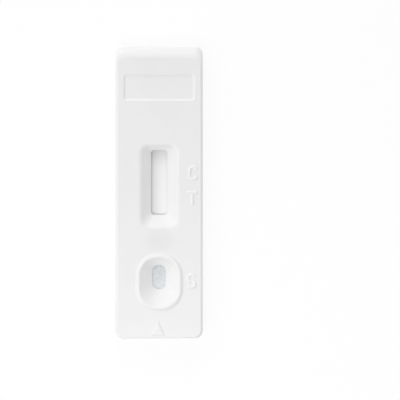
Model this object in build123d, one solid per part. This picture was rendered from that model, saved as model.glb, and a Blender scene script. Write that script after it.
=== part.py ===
from build123d import *
import math
import os

# A lateral flow test cassette: two moulded shells pinned together over a paper test strip.
# Millimetres. X runs across the cassette, Y along it towards the label panel, Z up.
# The origin is the centre of the underside.

# Outline, shared by both shells
length = 70.0
width = 20.9
corner_radius = 1.8
inner_corner_radius = 0.7
side_wall = 1.1
wall_draft = 1.5  # degrees from upright

# Heights
base_height = 2.3  # from the table to the parting line
floor_thickness = 1.0
cover_height = 2.7  # from the parting line to the deck
deck_thickness = 1.0

# Rounds where the deck turns down into the walls: how far in each starts, how far it drops
side_round = (0.65, 0.5)
tail_round = (0.3, 0.3)
inner_round = (0.4, 0.4)
nose_run = 3.2  # the long round at the label end
nose_upright = 0.35  # wall left under it, above the parting line
inner_nose_run = 2.3
inner_nose_upright = 0.2
bottom_round = 0.6  # edge that stands on the table

# Shadow line cut round the base at the parting line
seam_depth = 0.2
seam_height = 0.12

# Moulding gate left on the cover's well end
gate_x = -8.4
gate_width = 1.0
gate_height = 0.5
gate_proud = 0.3

# Test strip
strip_width = 4.0
strip_end_room = 5.0  # from each end of the strip to the end of the cassette
strip_seat = 2.3  # height of the ribs that carry it
card_thickness = 0.3
membrane_thickness = 0.14
membrane_past_window = (3.65, 5.7)  # beyond its low end and its high end
conjugate_thickness = 0.35
conjugate_from_well = 2.4  # from the well's opening to the pad
sample_thickness = 0.6
sample_lap = 0.49  # share of the conjugate pad's level stretch that it covers
absorbent_thickness = 0.9
membrane_lap = 2.0  # of either pad over the membrane
pad_climb = 0.8  # run in which a pad climbs onto the layer it laps

# Reading window: an opening at the foot of a dished recess
window_width = 3.9
window_length = 15.5
window_place = 0.37  # share of the bare deck from well to panel that lies before it
window_radius = 0.85
window_side_slope = 2.55  # run of each slope
window_low_slope = 3.05
window_high_slope = 1.25
window_mouth_radius = 1.9
window_rim_round = 1.4
window_lip = 0.42  # upright wall under the slopes
window_gap = 0.16  # between that wall and the membrane

# Sample well: an opening at the foot of a funnel with a raised rim
well_width = 3.3
well_length = 5.85
well_from_tail = 14.7  # its centre
well_side_slope = 3.25
well_low_slope = 4.45
well_high_slope = 1.95
well_foot_flat = 0.05  # half the straight stretch across each end of the opening
well_mouth_flat = 0.4  # and of the mouth
well_rim_height = 0.4
well_rim_run = 0.8
well_rim_round = 0.6
well_foot_round = 0.6
well_lip = 0.35

dish_wall = 0.95  # thickness under both dishes, measured straight down

# Label panel, sunk into the deck
panel_margin = 1.9  # to each side of the cassette
panel_height = 6.3
panel_from_nose = 9.98  # its centre
panel_depth = 0.24
panel_slope = 0.45
panel_radius = 0.7

# Raised marks on the deck: width and height
control_mark = (2.65, 3.75)
test_mark = (2.55, 3.65)
sample_mark = (2.6, 3.85)
arrow_mark = (3.55, 3.9)
control_from_side = 2.3  # centre of each letter
test_from_side = 2.5
sample_from_side = 2.72
control_below_window_end = 5.47
test_above_window_end = 3.96
sample_below_well = 0.95
arrow_x = -0.25
arrow_from_tail = 2.6
mark_stroke = 0.9
mark_proud = 0.18
mark_sides = ((1.0, 0.0), (0.4, 0.75), (0.1, 1.0))  # shares of half a stroke and of the height
arrow_flank = 0.65  # width of its sloping sides
mark_root = 0.1  # how deep each is rooted in the deck
letter_open = 35  # degrees by which each end of the C and the S stops short

# Pins of the cover in six-sided sockets of the base
pin_diameter = 1.6
pin_clearance = 0.02  # to each flat of the socket
pin_tip_gap = 0.2  # to the base's floor
pin_point = 0.25
pin_from_nose = 5.0
pin_from_tail = 4.0
pin_above_window = 4.2
pin_below_window = 6.25
shoulder_diameter = 2.4
socket_diameter = 2.9
socket_relief = 0.1  # of the socket's mouth below the parting line
socket_to_wall = 0.35

# Ribs and marks inside
rib = 0.7
strip_clearance = 0.15  # to the guide rails and the end stops
guide_height = 0.1  # of the guide rails above the card
stop_height = 0.4  # of the end stops above the card
seat_pitch = 5.9  # of the ribs that carry the strip
first_seat = 3.5  # from the strip's end
brace_height = 0.8
ejector_diameter = 2.4
ejector_depth = 0.1
ejector_rows = (25.8, 2.0, -20.5)

# Derived heights
parting = base_height
deck = parting + cover_height
ceiling = deck - deck_thickness
card_top = strip_seat + card_thickness
membrane_top = card_top + membrane_thickness
sample_top = card_top + sample_thickness
absorbent_top = card_top + absorbent_thickness
conjugate_lap_top = membrane_top + conjugate_thickness
sample_lap_top = card_top + conjugate_thickness + sample_thickness
absorbent_lap_top = membrane_top + absorbent_thickness

# Derived places
nose = length / 2
tail = -length / 2
well_y = tail + well_from_tail
well_high = well_y + well_length / 2
panel_y = nose - panel_from_nose
deck_low = well_high + well_high_slope + well_rim_run
deck_high = panel_y - panel_height / 2
bare_deck = deck_high - deck_low - window_low_slope - window_length - window_high_slope
window_low = deck_low + window_place * bare_deck + window_low_slope
window_high = window_low + window_length
strip_low = tail + strip_end_room
strip_high = nose - strip_end_room
membrane_low = window_low - membrane_past_window[0]
membrane_high = window_high + membrane_past_window[1]
conjugate_high = membrane_low + membrane_lap
conjugate_low = well_high + conjugate_from_well
sample_high = conjugate_low + sample_lap * (membrane_low - pad_climb - conjugate_low)
absorbent_low = membrane_high - membrane_lap
guide_inner = strip_width / 2 + strip_clearance
guide_outer = guide_inner + rib
pin_x = width / 2 - side_wall - socket_to_wall - socket_diameter / 2
control_y = window_high - control_below_window_end
test_y = window_low + test_above_window_end
sample_y = well_y - sample_below_well
pin_rows = (
    nose - pin_from_nose,
    window_high + pin_above_window,
    window_low - pin_below_window,
    tail + pin_from_tail,
)

# Bars under the deck that press the laps of the strip together: place and lower face
press_bars = (
    (absorbent_low + membrane_lap / 2, absorbent_lap_top),
    ((membrane_high + strip_high) / 2, absorbent_top),
    (conjugate_high - membrane_lap / 2, conjugate_lap_top),
    ((conjugate_low + sample_high) / 2, sample_lap_top),
)


def outline(half_width, y_low, y_high, radius, z):
    """A rounded rectangle lying flat at height z."""
    shape = RectangleRounded(2 * half_width, y_high - y_low, radius)
    return Plane.XY.offset(z) * Pos(0, (y_low + y_high) / 2) * shape


def block(x_low, x_high, y_low, y_high, z_low, z_high):
    """A box between the given limits."""
    middle = ((x_low + x_high) / 2, (y_low + y_high) / 2, (z_low + z_high) / 2)
    return Pos(*middle) * Box(x_high - x_low, y_high - y_low, z_high - z_low)


def post(x, y, diameter, z_low, z_high):
    """An upright cylinder between two heights."""
    return Pos(x, y, (z_low + z_high) / 2) * Cylinder(diameter / 2, z_high - z_low)


def pillow(inset, low, top, side_turn, nose_turn, tail_turn, radius):
    """Drafted walls that turn over into a level top.

    Each turn is a quarter of an ellipse, given as (run, drop)."""
    levels = {low, top}
    for run, drop in (side_turn, nose_turn, tail_turn):
        turns = (0, 15, 30, 45, 60, 75)
        levels.update(round(top - drop * (1 - math.sin(math.radians(a))), 3) for a in turns)
    steps = math.ceil((top - low) / 0.2)
    levels.update(round(low + (top - low) * i / steps, 3) for i in range(1, steps))

    def inset_at(z, edge_round):
        run, drop = edge_round
        climb = max(0.0, (z - top + drop) / drop)
        lean = math.tan(math.radians(wall_draft)) * (z - low)
        return inset + lean + run * (1 - math.sqrt(max(0.0, 1 - climb**2)))

    sections = []
    for z in sorted(levels):
        half_width = width / 2 - inset_at(z, side_turn)
        y_high = nose - inset_at(z, nose_turn)
        y_low = tail + inset_at(z, tail_turn)
        sections.append(outline(half_width, y_low, y_high, radius, z))
    return loft(sections)


class Dish:
    """A recess whose flat slopes run from a mouth down to an upright-walled opening."""

    def __init__(self, opening, slopes, radii, mouth_z, foot_z, lip):
        self.half_width, self.y_low, self.y_high = opening
        self.side, self.low, self.high = slopes
        self.foot_radius, self.mouth_radius = radii
        self.mouth_z = mouth_z
        self.foot_z = foot_z
        self.lip = lip

    def level(self, depth_z, z):
        """The outline that the slopes have at height depth_z, drawn at height z."""
        out = (depth_z - self.foot_z) / (self.mouth_z - self.foot_z)
        return outline(
            self.half_width + self.side * out,
            self.y_low - self.low * out,
            self.y_high + self.high * out,
            self.foot_radius + (self.mouth_radius - self.foot_radius) * out,
            z,
        )

    def hollow(self):
        """The room inside the recess and its opening."""
        mouth = self.level(self.mouth_z, self.mouth_z)
        foot = self.level(self.foot_z, self.foot_z)
        return loft([mouth, foot], ruled=True) + extrude(foot, -2 * self.lip)

    def boss(self):
        """The wall under the recess, down from the deck's underside."""
        bottom = self.foot_z - self.lip
        upper = self.level(ceiling + dish_wall, ceiling)
        lower = self.level(bottom + dish_wall, bottom)
        return loft([upper, lower], ruled=True)


window = Dish(
    (window_width / 2, window_low, window_high),
    (window_side_slope, window_low_slope, window_high_slope),
    (window_radius, window_mouth_radius),
    deck,
    membrane_top + window_gap + window_lip,
    window_lip,
)
well = Dish(
    (well_width / 2, well_high - well_length, well_high),
    (well_side_slope, well_low_slope, well_high_slope),
    (well_width / 2 - well_foot_flat, well_width / 2 + well_side_slope - well_mouth_flat),
    deck + well_rim_height,
    sample_top + well_lip,
    well_lip,
)


def well_rim():
    """The raised rim, from its foot on the deck to its crest."""
    crest = well.level(well.mouth_z, well.mouth_z)
    foot = outline(
        well.half_width + well.side + well_rim_run,
        well.y_low - well.low - well_rim_run,
        well.y_high + well.high + well_rim_run,
        well.mouth_radius + well_rim_run,
        deck,
    )
    return loft([foot, crest], ruled=True)


def panel_hollow():
    """The sunk label panel."""
    y_low = panel_y - panel_height / 2
    y_high = panel_y + panel_height / 2
    half_width = width / 2 - panel_margin
    mouth = outline(half_width, y_low, y_high, panel_radius, deck)
    foot = outline(
        half_width - panel_slope,
        y_low + panel_slope,
        y_high - panel_slope,
        panel_radius - panel_slope / 2,
        deck - panel_depth,
    )
    return loft([mouth, foot], ruled=True)


def brush(*edges):
    """A raised stroke with sloping sides and round ends, along a path on the deck."""
    side = [(mark_stroke / 2 * out, mark_proud * up) for out, up in mark_sides]
    side = [(side[0][0], -mark_root), *side]
    mirrored = [(-x, z) for x, z in reversed(side)]
    half = make_face(Polyline((0, -mark_root), *side, (0, mark_proud), close=True))
    end = revolve(Plane.XZ * half, Axis.Z)
    path = Wire(edges)
    along = path.tangent_at(0)
    across = Vector(0, 0, 1).cross(along)
    start = Plane(origin=path.position_at(0), x_dir=across, z_dir=along)
    body = sweep(start * make_face(Polyline(*side, *mirrored, close=True)), path=path)
    return body + [Pos(path.position_at(share)) * end for share in (0, 1)]


def letter_c(mark_width, mark_height):
    """An upright oval, open to the right."""
    turn = (mark_width - mark_stroke) / 2
    straight = (mark_height - mark_stroke) / 2 - turn
    return brush(
        CenterArc((0, straight), turn, letter_open, 180 - letter_open),
        Line((-turn, straight), (-turn, -straight)),
        CenterArc((0, -straight), turn, 180, 180 - letter_open),
    )


def letter_t(mark_width, mark_height):
    """A bar on an upright."""
    x = (mark_width - mark_stroke) / 2
    y = (mark_height - mark_stroke) / 2
    return brush(Line((-x, y), (x, y))) + brush(Line((0, y), (0, -y)))


def letter_s(mark_width, mark_height):
    """Two open bowls, one on the other."""
    x = (mark_width - mark_stroke) / 2
    y = (mark_height - mark_stroke) / 4
    turn = 270 - letter_open
    upper = EllipticalCenterArc((0, y), x, y, letter_open, arc_size=turn)
    lower = EllipticalCenterArc((0, -y), x, y, 180 + letter_open, arc_size=turn)
    return brush(upper, lower)


def arrow(mark_width, mark_height):
    """A solid triangle with sloping sides, pointing to the well."""
    x = mark_width / 2
    y = mark_height / 2
    foot = make_face(Polyline((-x, -y), (x, -y), (0, y), close=True))
    levels = [foot]
    for out, up in mark_sides[1:]:
        inner = offset(foot, -arrow_flank * (1 - out), kind=Kind.INTERSECTION)
        levels.append(Pos(0, 0, mark_proud * up) * inner)
    body = extrude(foot, -mark_root)
    for lower, upper in zip(levels, levels[1:]):
        body += loft([lower, upper], ruled=True)
    return body


def pins():
    """Stepped pins under the deck, pointed to enter the sockets."""
    shapes = []
    for x in (-pin_x, pin_x):
        for y in pin_rows:
            pin = post(x, y, pin_diameter, floor_thickness + pin_tip_gap, ceiling)
            tip = pin.edges().group_by(Axis.Z)[0]
            shapes.append(chamfer(tip, pin_point))
            shapes.append(post(x, y, shoulder_diameter, parting, ceiling))
    return shapes


def make_cover():
    nose_round = (nose_run, cover_height - nose_upright)
    inner_nose_round = (inner_nose_run, ceiling - parting - inner_nose_upright)
    outer = pillow(0, parting, deck, side_round, nose_round, tail_round, corner_radius)
    inner = pillow(
        side_wall, parting, ceiling, inner_round, inner_nose_round, inner_round,
        inner_corner_radius,
    )
    cover = outer - inner
    for y, bottom in press_bars:
        cover += block(-guide_outer, guide_outer, y - rib / 2, y + rib / 2, bottom, ceiling)
    cover += [window.boss(), well.boss(), well_rim(), *pins()]
    cover -= [window.hollow(), well.hollow(), panel_hollow()]
    cover = round_rims(cover)
    cover += [
        Pos(width / 2 - control_from_side, control_y, deck) * letter_c(*control_mark),
        Pos(width / 2 - test_from_side, test_y, deck) * letter_t(*test_mark),
        Pos(width / 2 - sample_from_side, sample_y, deck) * letter_s(*sample_mark),
        Pos(arrow_x, tail + arrow_from_tail, deck) * arrow(*arrow_mark),
    ]
    cover += block(
        gate_x - gate_width / 2, gate_x + gate_width / 2,
        tail - gate_proud, tail + side_wall / 2,
        parting, parting + gate_height,
    )
    return cover


def edges_at(shape, z, x_limit, y_low, y_high):
    """The edges that lie level at height z within the given limits."""
    found = []
    for edge in shape.edges():
        box = edge.bounding_box()
        level = abs(box.min.Z - z) < 0.001 and abs(box.max.Z - z) < 0.001
        within = box.max.X < x_limit and box.min.Y > y_low and box.max.Y < y_high
        if level and within and box.min.X > -x_limit:
            found.append(edge)
    return found


def round_rims(cover):
    """Soften the window's edge and the well's crest and foot."""
    margin = 1.5
    far = window.half_width + window.side + margin
    low = window.y_low - window.low - margin
    high = window.y_high + window.high + margin
    cover = fillet(edges_at(cover, deck, far, low, high), window_rim_round)
    far = well.half_width + well.side + well_rim_run + 0.5
    low = well.y_low - well.low - margin
    high = well.y_high + well.high + margin
    cover = fillet(edges_at(cover, well.mouth_z, far, low, high), well_rim_round)
    cover = fillet(edges_at(cover, deck, far, low, high), well_foot_round)
    return cover


def strip_seats():
    """Ribs across the floor that carry the strip, every second one run out to the walls.

    Under the well a solid bed takes their place."""
    shapes = [block(
        -guide_inner, guide_inner, well.y_low, well.y_high, floor_thickness, strip_seat,
    )]
    wall = width / 2 - side_wall / 2
    brace_top = floor_thickness + brace_height
    count = int((strip_high - strip_low - 2 * first_seat) / seat_pitch) + 1
    for i in range(count):
        y = strip_high - first_seat - i * seat_pitch
        y_low = y - rib / 2
        y_high = y + rib / 2
        if y_high < well.y_low or y_low > well.y_high:
            shapes.append(block(-guide_inner, guide_inner, y_low, y_high, floor_thickness, strip_seat))
        if i % 2 == 1:
            shapes.append(block(-wall, -guide_inner, y_low, y_high, floor_thickness, brace_top))
            shapes.append(block(guide_inner, wall, y_low, y_high, floor_thickness, brace_top))
    return shapes


def strip_guides():
    """Rails along the strip and stops at its ends."""
    stop_low = strip_low - strip_clearance
    stop_high = strip_high + strip_clearance
    guide_top = card_top + guide_height
    stop_top = card_top + stop_height
    return [
        block(-guide_outer, -guide_inner, stop_low, stop_high, floor_thickness, guide_top),
        block(guide_inner, guide_outer, stop_low, stop_high, floor_thickness, guide_top),
        block(-guide_outer, guide_outer, stop_low - rib, stop_low, floor_thickness, stop_top),
        block(-guide_outer, guide_outer, stop_high, stop_high + rib, floor_thickness, stop_top),
    ]


def make_base():
    bed = outline(width / 2, tail, nose, corner_radius, parting)
    base = extrude(bed, -base_height, taper=wall_draft)
    base = fillet(base.edges().group_by(Axis.Z)[0], bottom_round)
    room = outline(
        width / 2 - side_wall, tail + side_wall, nose - side_wall, inner_corner_radius, parting,
    )
    base -= extrude(room, floor_thickness - base_height, taper=wall_draft)
    neck = outline(
        width / 2 - seam_depth, tail + seam_depth, nose - seam_depth,
        corner_radius - seam_depth, parting,
    )
    base -= extrude(bed, -seam_height) - extrude(neck, -seam_height)

    socket_top = parting - socket_relief
    for x in (-pin_x, pin_x):
        base += [post(x, y, socket_diameter, floor_thickness, socket_top) for y in pin_rows]
    base += [*strip_seats(), *strip_guides()]

    hexagon = RegularPolygon(pin_diameter / 2 + pin_clearance, 6, major_radius=False)
    spot_x = (guide_outer + width / 2 - side_wall) / 2
    spot_z = floor_thickness - ejector_depth
    for side in (-1, 1):
        for y in pin_rows:
            mouth = Pos(side * pin_x, y, socket_top) * hexagon
            base -= extrude(mouth, floor_thickness - socket_top)
        for y in ejector_rows:
            base -= post(side * spot_x, y, ejector_diameter, spot_z, floor_thickness)
    return base


def strip_layer(points):
    """A layer of the strip, as wide as the strip, from its outline seen from the side."""
    side = Plane.YZ * make_face(Polyline(*points, close=True))
    return extrude(side, strip_width / 2, both=True)


def lapping_pad(end, lap_start, lap_end, foot, thickness, step):
    """A pad that lies at height foot and climbs by step to lap the next layer."""
    bend = lap_start + math.copysign(pad_climb, end - lap_start)
    under = [(end, foot), (bend, foot), (lap_start, foot + step), (lap_end, foot + step)]
    over = [(y, z + thickness) for y, z in reversed(under)]
    return strip_layer(under + over)


def make_strip():
    half = strip_width / 2
    return {
        "backing_card": block(-half, half, strip_low, strip_high, strip_seat, card_top),
        "membrane": block(-half, half, membrane_low, membrane_high, card_top, membrane_top),
        "conjugate_pad": lapping_pad(
            conjugate_low, membrane_low, conjugate_high,
            card_top, conjugate_thickness, membrane_thickness,
        ),
        "sample_pad": lapping_pad(
            strip_low, conjugate_low, sample_high,
            card_top, sample_thickness, conjugate_thickness,
        ),
        "absorbent_pad": lapping_pad(
            strip_high, membrane_high, absorbent_low,
            card_top, absorbent_thickness, membrane_thickness,
        ),
    }


os.makedirs("parts", exist_ok=True)
nodes = {"top_cover": make_cover(), "bottom_base": make_base(), **make_strip()}
for name, shape in nodes.items():
    export_step(shape, f"parts/{name}.step")
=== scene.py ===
import math

import bpy
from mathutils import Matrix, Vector

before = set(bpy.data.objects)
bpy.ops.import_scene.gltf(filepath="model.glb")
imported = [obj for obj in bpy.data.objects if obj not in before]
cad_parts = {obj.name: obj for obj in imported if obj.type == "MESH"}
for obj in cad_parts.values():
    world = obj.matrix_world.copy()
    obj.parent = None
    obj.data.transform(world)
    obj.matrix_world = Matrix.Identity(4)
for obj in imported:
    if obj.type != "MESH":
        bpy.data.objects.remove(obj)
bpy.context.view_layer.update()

# The top cover and the base are injection mouldings in white polystyrene, and the cover keeps
# the stub of its gate at the well end. The steel's fine finish leaves both satin, a little
# duller in the label panel. Painted shade darkens the cover's deck between window and well.
shell_white = (0.845, 0.845, 0.843)
shell_shade = (0.833, 0.833, 0.832)
shell_roughness = 0.37
panel_roughness = 0.5
panel_half_width = 8.1
panel_middle_y = 25.02
panel_half_height = 2.7
panel_edge = 0.1
deck_from = (4.2, 4.6)
shade_patch_middle = (0.1, -11.5)
shade_patch_half_size = (4.6, 3.3)
shade_patch_strength = 3.2
wave_size = 9.0
wave_depth = 0.02
wave_tints = (0.35, 0.65)
peel_size = 0.55
peel_depth = 0.0016
peel_dulling = 0.05
etch_size = 0.09
etch_depth = 0.0012
etch_outside_panel = 0.35
mm_per_metre = 1000.0


class Wire:
    """What comes out of a node, ready to be used in a sum."""

    def __init__(self, finish, socket):
        self.finish = finish
        self.socket = socket

    def sum_with(self, operation, *values):
        return self.finish.node("Math", {"operation": operation}, *values)

    def __add__(self, other):
        return self.sum_with("ADD", self, other)

    def __radd__(self, other):
        return self.sum_with("ADD", other, self)

    def __sub__(self, other):
        return self.sum_with("SUBTRACT", self, other)

    def __rsub__(self, other):
        return self.sum_with("SUBTRACT", other, self)

    def __mul__(self, other):
        return self.sum_with("MULTIPLY", self, other)

    def __rmul__(self, other):
        return self.sum_with("MULTIPLY", other, self)

    def __truediv__(self, other):
        return self.sum_with("DIVIDE", self, other)

    def __rtruediv__(self, other):
        return self.sum_with("DIVIDE", other, self)

    def __abs__(self):
        return self.sum_with("ABSOLUTE", self)

    def larger(self, other):
        return self.sum_with("MAXIMUM", self, other)

    def ramp(self, low, high):
        """0 below low, 1 above high, and a smooth step between."""
        settings = {"interpolation_type": "SMOOTHSTEP"}
        return self.finish.node("MapRange", settings, self, low, high)

    def tint(self, first, second):
        """A colour between two, this far along. Below 0 it goes on past the first one."""
        settings = {"data_type": "RGBA", "clamp_factor": False}
        sockets = {"Factor": self, "A": (*first, 1.0), "B": (*second, 1.0)}
        return self.finish.node("Mix", settings, out="Result", **sockets)


class Finish:
    """A material, or the studio's walls, with one method that adds its nodes."""

    def __init__(self, name, kept_in=bpy.data.materials, end="OutputMaterial"):
        self.holder = kept_in.new(name)
        self.holder.use_nodes = True
        self.tree = self.holder.node_tree
        self.tree.nodes.clear()
        self.end = end

    def node(self, kind, settings=None, *values, out=None, **named):
        """Adds a node: its settings first, then its sockets by place or by name."""
        made = self.tree.nodes.new("ShaderNode" + kind)
        for key, value in (settings or {}).items():
            setattr(made, key, value)
        for place, value in list(enumerate(values)) + list(named.items()):
            self.plug(self.find(made.inputs, place), value)
        if out is None:
            return Wire(self, next((s for s in made.outputs if s.enabled), None))
        return Wire(self, self.find(made.outputs, out))

    def find(self, sockets, place):
        if isinstance(place, int):
            return sockets[place]
        wanted = place.replace("_", " ")
        return next(s for s in sockets if s.enabled and s.name == wanted)

    def plug(self, socket, value):
        if isinstance(value, Wire):
            self.tree.links.new(value.socket, socket)
        else:
            socket.default_value = value

    def millimetres(self):
        """Places on the piece, in the cassette's own millimetres."""
        place = self.node("TexCoord", out="Object")
        return self.node("VectorMath", {"operation": "SCALE"}, place, Scale=mm_per_metre)

    def axes(self, place):
        """The three parts of a place."""
        parts = self.node("SeparateXYZ", None, place)
        outputs = parts.socket.node.outputs
        return [Wire(self, outputs[name]) for name in "XYZ"]

    def grain(self, place, size, detail=2.0, rough=0.5, **named):
        """Soft noise from 0 to 1 with features of this size in millimetres."""
        sockets = {"Vector": place, "Scale": 1 / size, "Detail": detail, "Roughness": rough}
        return self.node("TexNoise", None, out="Fac", **sockets, **named)

    def stretched(self, place, squeeze):
        """Places squeezed along each axis, so that grain runs out along the most squeezed."""
        return self.node("VectorMath", {"operation": "MULTIPLY"}, place, squeeze)

    def bump(self, height, depth, below=None):
        """A surface that rises by this many millimetres where height is 1."""
        sockets = {"Strength": 1.0, "Distance": depth / mm_per_metre, "Height": height}
        if below is not None:
            sockets["Normal"] = below
        return self.node("Bump", None, out="Normal", **sockets)

    def surface(self, **sockets):
        self.end_with(self.node("BsdfPrincipled", None, out="BSDF", **sockets))

    def end_with(self, shader):
        self.node(self.end, Surface=shader)

    def on(self, *pieces):
        for piece in pieces:
            piece.data.materials.clear()
            piece.data.materials.append(self.holder)


shell = Finish("moulded_polystyrene")
spot = shell.millimetres()
spot_x, spot_y, spot_z = shell.axes(spot)
on_deck = spot_z.ramp(*deck_from)
from_shade_patch_x = (spot_x - shade_patch_middle[0]) / shade_patch_half_size[0]
from_shade_patch_y = (spot_y - shade_patch_middle[1]) / shade_patch_half_size[1]
# Painted shade: a soft darker patch on the deck between the window and the well.
painted_shade_patch = 1 - (from_shade_patch_x * from_shade_patch_x + from_shade_patch_y * from_shade_patch_y).ramp(0.0, 1.0)
past_side = abs(spot_x).ramp(panel_half_width - panel_edge, panel_half_width + panel_edge)
from_panel_y = abs(spot_y - panel_middle_y)
past_end = from_panel_y.ramp(panel_half_height - panel_edge, panel_half_height + panel_edge)
in_panel = (1 - past_side) * (1 - past_end) * on_deck
waves = shell.grain(spot, wave_size)
peel = shell.grain(spot, peel_size, detail=3.0)
etch = shell.grain(spot, etch_size, detail=1.0)
waved = shell.bump(waves, wave_depth)
peeled = shell.bump(peel, peel_depth, below=waved)
etched = shell.bump(etch * (etch_outside_panel + in_panel), etch_depth, below=peeled)
# The deck's random tone, with the painted shade patch taken off it.
tone_and_painted_shade = waves.ramp(*wave_tints) - shade_patch_strength * painted_shade_patch * on_deck
dulled = shell_roughness + (panel_roughness - shell_roughness) * in_panel
shell.surface(
    Base_Color=tone_and_painted_shade.tint(shell_shade, shell_white),
    Roughness=dulled + peel_dulling * (peel - 0.5),
    IOR=1.52,
    Subsurface_Weight=0.08,
    Subsurface_Radius=(1.0, 0.9, 0.85),
    Subsurface_Scale=0.0008,
    Normal=etched,
)
shell.on(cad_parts["top_cover"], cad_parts["bottom_base"])

# The membrane is cast nitrocellulose on the strip's card, and nothing is printed on it before
# use. It is white, with faint runs along the strip from the casting. Painted shade greys it
# towards its left edge and its high end, where the window's walls shade it.
membrane_white = (0.872, 0.872, 0.87)
membrane_grey = (0.0, 0.0, 0.0)
left_painted_shade = 0.24
left_painted_shade_from = (-3.4, 1.3)
high_painted_shade = 0.1
high_painted_shade_from = (5.2, 10.8)
run_grey = 0.012
run_grey_from = (0.3, 0.7)
run_size = 0.4
run_squeeze = (1.0, 0.12, 1.0)
pore_size = 0.05
membrane_relief = 0.004
cast = Finish("cast_membrane")
spot = cast.millimetres()
spot_x, spot_y, _ = cast.axes(spot)
pores = cast.grain(spot, pore_size)
runs = cast.grain(cast.stretched(spot, run_squeeze), run_size)
# Painted shade towards the left edge and the high end, where the window's walls shade it.
runs_and_painted_shade = left_painted_shade * (1 - spot_x.ramp(*left_painted_shade_from)) + high_painted_shade * spot_y.ramp(*high_painted_shade_from)
# The casting's faint runs, which are real, are added to the painted shade.
runs_and_painted_shade = runs_and_painted_shade + run_grey * runs.ramp(*run_grey_from)
cast.surface(
    Base_Color=runs_and_painted_shade.tint(membrane_white, membrane_grey),
    Roughness=0.85,
    IOR=1.4,
    Normal=cast.bump(pores + runs, membrane_relief),
)
cast.on(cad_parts["membrane"])

# The backing card is a strip of white polystyrene sheet that carries the strip's layers.
# It is plain and matt, and shows only when the shells are apart.
card_shade = (0.80, 0.80, 0.79)
card_white = (0.84, 0.84, 0.83)
card_cloud_size = 3.0
card_grain_size = 0.2
card_relief = 0.002
card = Finish("backing_sheet")
spot = card.millimetres()
card.surface(
    Base_Color=card.grain(spot, card_cloud_size).tint(card_shade, card_white),
    Roughness=0.5,
    Normal=card.bump(card.grain(spot, card_grain_size), card_relief),
)
card.on(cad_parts["backing_card"])

# The pads are wet-laid fibre mats: cellulose for the sample and absorbent pads, glass for
# the conjugate pad. Their fibres lie every way in the sheet and give a soft felted face. The
# sample pad gets painted shade at the high end of the well's hole, where the well's wall shades it.
cellulose = ((0.586, 0.623, 0.643), (0.837, 0.864, 0.88))
glass = ((0.74, 0.70, 0.66), (0.85, 0.82, 0.78))
cellulose_fibre = 0.16
glass_fibre = 0.1
well_shade_from = (-19.4, -17.4)
well_painted_shade = 0.36
squeeze_along = (1.0, 0.18, 1.0)
squeeze_across = (0.2, 1.0, 1.0)
strand_tints = (0.35, 0.75)
strand_share = 0.6
lump_size = 0.9
lump_tints = (0.3, 0.7)
bend_size = 0.5
bend_shade = 0.2
strand_relief_share = 0.7
felt_relief = 0.05


def felt(name, dark, light, fibre, painted_shade_span=(0.0, 1.0), painted_shade_depth=0.0):
    """A mat of fibres this wide, with painted shade past the places along Y where a wall shades it.
    """
    mat = Finish(name)
    spot = mat.millimetres()
    along = mat.stretched(spot, squeeze_along)
    across = mat.stretched(spot, squeeze_across)
    strands = mat.grain(along, fibre, detail=3.0, rough=0.7, Distortion=1.2)
    strands = strands.larger(mat.grain(across, fibre, detail=3.0, rough=0.7, Distortion=1.4))
    lumps = mat.grain(spot, lump_size)
    bends = mat.grain(spot, bend_size, detail=1.0)
    weight = strands.ramp(*strand_tints) * strand_share + lumps.ramp(*lump_tints) * (1 - strand_share)
    weight = weight * (1 - bend_shade / 2 + bend_shade * bends)
    _, spot_y, _ = mat.axes(spot)
    relief = strands * strand_relief_share + lumps * (1 - strand_relief_share)
    mat.surface(
        # Painted shade darkens the felt along Y, for the sample pad at the high end of the well's
        # hole.
        Base_Color=(weight - painted_shade_depth * spot_y.ramp(*painted_shade_span)).tint(dark, light),
        Roughness=0.9,
        IOR=1.4,
        Normal=mat.bump(relief, felt_relief),
    )
    return mat


sample_felt = felt("sample_felt", *cellulose, cellulose_fibre, well_shade_from, well_painted_shade)
sample_felt.on(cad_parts["sample_pad"])
absorbent_felt = felt("absorbent_felt", *cellulose, cellulose_fibre)
absorbent_felt.on(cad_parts["absorbent_pad"])
glass_felt = felt("glass_felt", *glass, glass_fibre)
glass_felt.on(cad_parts["conjugate_pad"])

# The cassette lies on a seamless white sweep in a nearly shadowless product studio. The sweep
# is white to the lens, less so in the satin plastic, whose pale faces must not wash out, and
# it keeps a breath of the cassette's own shadow.
sweep_size = 6.0
sweep_paper = (0.97, 0.97, 0.97, 1.0)
sweep_white = 0.88
full_white = (1.0, 1.0, 1.0, 1.0)
mirrored_white = 0.25


def seen_white(finish):
    """1 for what the lens sees, also through glass, and less for what gloss mirrors."""
    lens = finish.node("LightPath", out="Is Camera Ray")
    through = finish.node("LightPath", out="Is Transmission Ray")
    gloss = finish.node("LightPath", out="Is Glossy Ray")
    return lens.larger(through).larger(mirrored_white * gloss)


bpy.ops.mesh.primitive_plane_add(size=sweep_size, location=(0, 0, 0))
sweep = bpy.context.object
sweep.name = "sweep"
paper = Finish("sweep_paper")
dull = paper.node("BsdfDiffuse", None, sweep_paper)
bright = paper.node("Emission", None, full_white, 1.0)
brightened = seen_white(paper) * sweep_white
paper.end_with(paper.node("MixShader", None, brightened, dull, bright))
paper.on(sweep)

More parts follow.
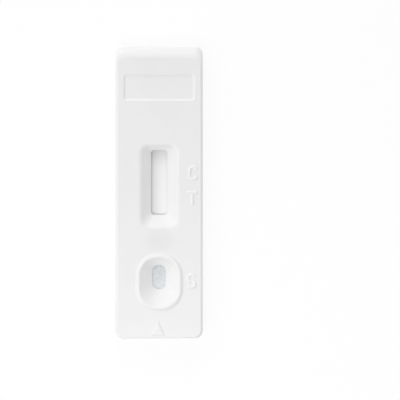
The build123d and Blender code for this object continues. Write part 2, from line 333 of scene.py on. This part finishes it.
# Soft boxes stand round the far and left sides, and a small one close by the well end, so that
# each slope that faces them is bright. The deck doesn't mirror the low box at the far end,
# whose image would hide its edges. A dim room fills in the rest and looks white to the lens.
room_light = 0.396
studio = Finish("studio", bpy.data.worlds, "OutputWorld")
dim_walls = studio.node("Background", None, full_white, room_light)
white_walls = studio.node("Background", None, full_white, 1.0)
studio.end_with(studio.node("MixShader", None, seen_white(studio), dim_walls, white_walls))
bpy.context.scene.world = studio.holder


def soft_box(name, around, above, size, share, away=0.5, mirrored=True):
    """A square lamp aimed at the cassette, placed by two angles in degrees and a distance.

    It adds this share of full light on a sheet that faces it there."""
    lamp = bpy.data.lights.new(name, "AREA")
    lamp.shape = "SQUARE"
    lamp.size = size
    lamp.energy = share * (math.pi * away) ** 2
    box = bpy.data.objects.new(name, lamp)
    bpy.context.scene.collection.objects.link(box)
    turn = math.radians(around)
    rise = math.radians(above)
    level = Vector((math.cos(turn), math.sin(turn), 0))
    box.location = away * (level * math.cos(rise) + Vector((0, 0, math.sin(rise))))
    box.rotation_euler = (-box.location).to_track_quat("-Z", "Y").to_euler()
    box.visible_camera = False
    box.visible_glossy = mirrored


soft_box("far_low_box", around=90, above=18, size=0.3, share=0.298, mirrored=False)
soft_box("far_high_box", around=90, above=42, size=0.34, share=0.16)
soft_box("corner_box", around=135, above=18, size=0.3, share=0.18)
soft_box("left_box", around=180, above=42, size=0.24, share=0.049)
soft_box("near_left_box", around=225, above=42, size=0.3, share=0.246)
soft_box("near_small_box", around=270, above=60, size=0.08, share=0.242, away=0.2)

# The camera looks down through a long lens from a little to the left, with the label end at
# the top of the picture and the cassette left of the middle.
lens_mm = 180.0
sensor_mm = 36.0
far_clip = 10.0
view_width = 0.0962
view_middle = Vector((0.00986, -0.00186, 0.0023))
view_lean = math.radians(2.5)
camera_data = bpy.data.cameras.new("camera")
camera_data.lens = lens_mm
camera_data.sensor_width = sensor_mm
camera_data.clip_end = far_clip
camera = bpy.data.objects.new("camera", camera_data)
bpy.context.scene.collection.objects.link(camera)
camera.rotation_euler = (0, -view_lean, 0)
to_lens = Vector((-math.sin(view_lean), 0, math.cos(view_lean)))
camera.location = view_middle + to_lens * view_width * lens_mm / sensor_mm
bpy.context.scene.camera = camera
bpy.context.scene.view_settings.view_transform = "Standard"
